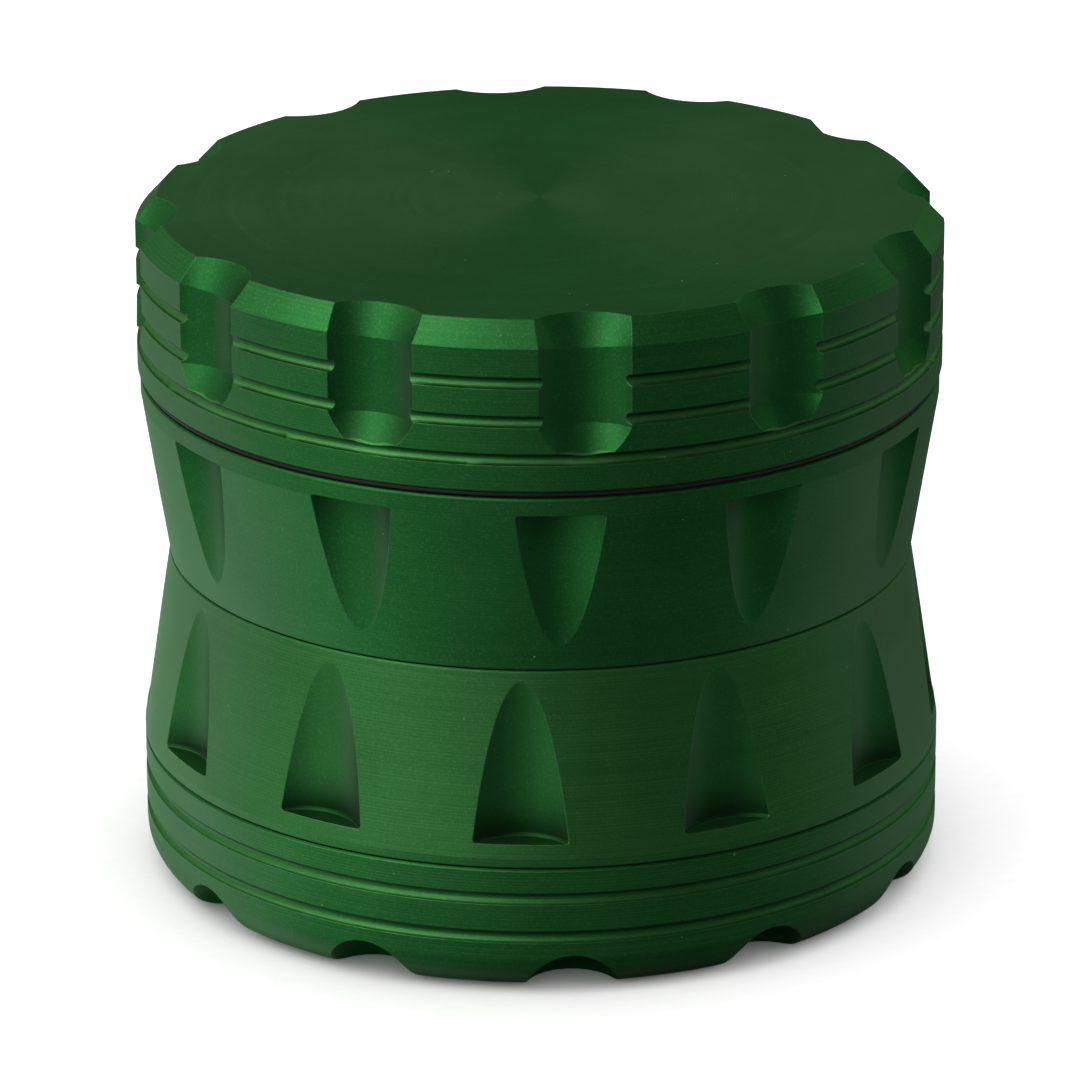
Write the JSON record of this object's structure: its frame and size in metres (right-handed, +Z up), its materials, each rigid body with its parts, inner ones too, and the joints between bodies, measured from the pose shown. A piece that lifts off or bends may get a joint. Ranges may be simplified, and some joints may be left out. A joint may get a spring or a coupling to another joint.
{
  "type": "hand grinder",
  "caption": "Hand grinder of stacked turned metal cups: fluted lid over interleaved teeth, grinding chamber, screened storage chamber and a screw-on base tray.",
  "frame": {"origin": "centre of the flat underside it stands on", "axes": "+Z up along the common axis of all the cups; +X to the right and -Y towards the viewer"},
  "size_m": [0.063, 0.063, 0.0538],
  "materials": {
    "anodised": "green anodised, fine turning lines",
    "nylon": "black nylon",
    "magnet": "nickel plated",
    "stainless": "woven and drawn stainless wire"
  },
  "bodies": {
    "base": {"base_cup": "anodised"},
    "screen_ring": {"screen_rim": "stainless"},
    "storage": {"storage_chamber": "anodised", "screen_mesh": "stainless", "screen_snap_ring": "stainless"},
    "post_magnet": {"chamber_magnet": "magnet"},
    "grinding": {"grinding_chamber": "anodised"},
    "ring": {"friction_ring": "nylon"},
    "lid": {"lid": "anodised", "lid_magnet": "magnet"}
  },
  "joints": [
    {"name": "storage_rise", "type": "slide", "parent": "base", "child": "screen_ring", "axis": [0, 0, 1], "range_m": [0, 0.0241]},
    {"name": "storage_unscrew", "type": "hinge", "parent": "screen_ring", "child": "storage", "pos_m": [0, 0, 0.0183], "axis": [0, 0, 1], "range_deg": [0, 1440]},
    {"name": "grinding_rise", "type": "slide", "parent": "storage", "child": "post_magnet", "axis": [0, 0, 1], "range_m": [0, 0.0241]},
    {"name": "grinding_unscrew", "type": "hinge", "parent": "post_magnet", "child": "grinding", "pos_m": [0, 0, 0.033], "axis": [0, 0, 1], "range_deg": [0, 1440]},
    {"name": "lid_lift", "type": "slide", "parent": "grinding", "child": "ring", "axis": [0, 0, 1], "range_m": [0, 0.03]},
    {"name": "lid_turn", "type": "hinge", "parent": "ring", "child": "lid", "pos_m": [0, 0, 0.047], "axis": [0, 0, 1], "continuous": true}
  ],
  "couplings": [
    {"joint": "storage_rise", "follows": "storage_unscrew", "m_per_rad": 0.00095493},
    {"joint": "grinding_rise", "follows": "grinding_unscrew", "m_per_rad": 0.00095493}
  ]
}
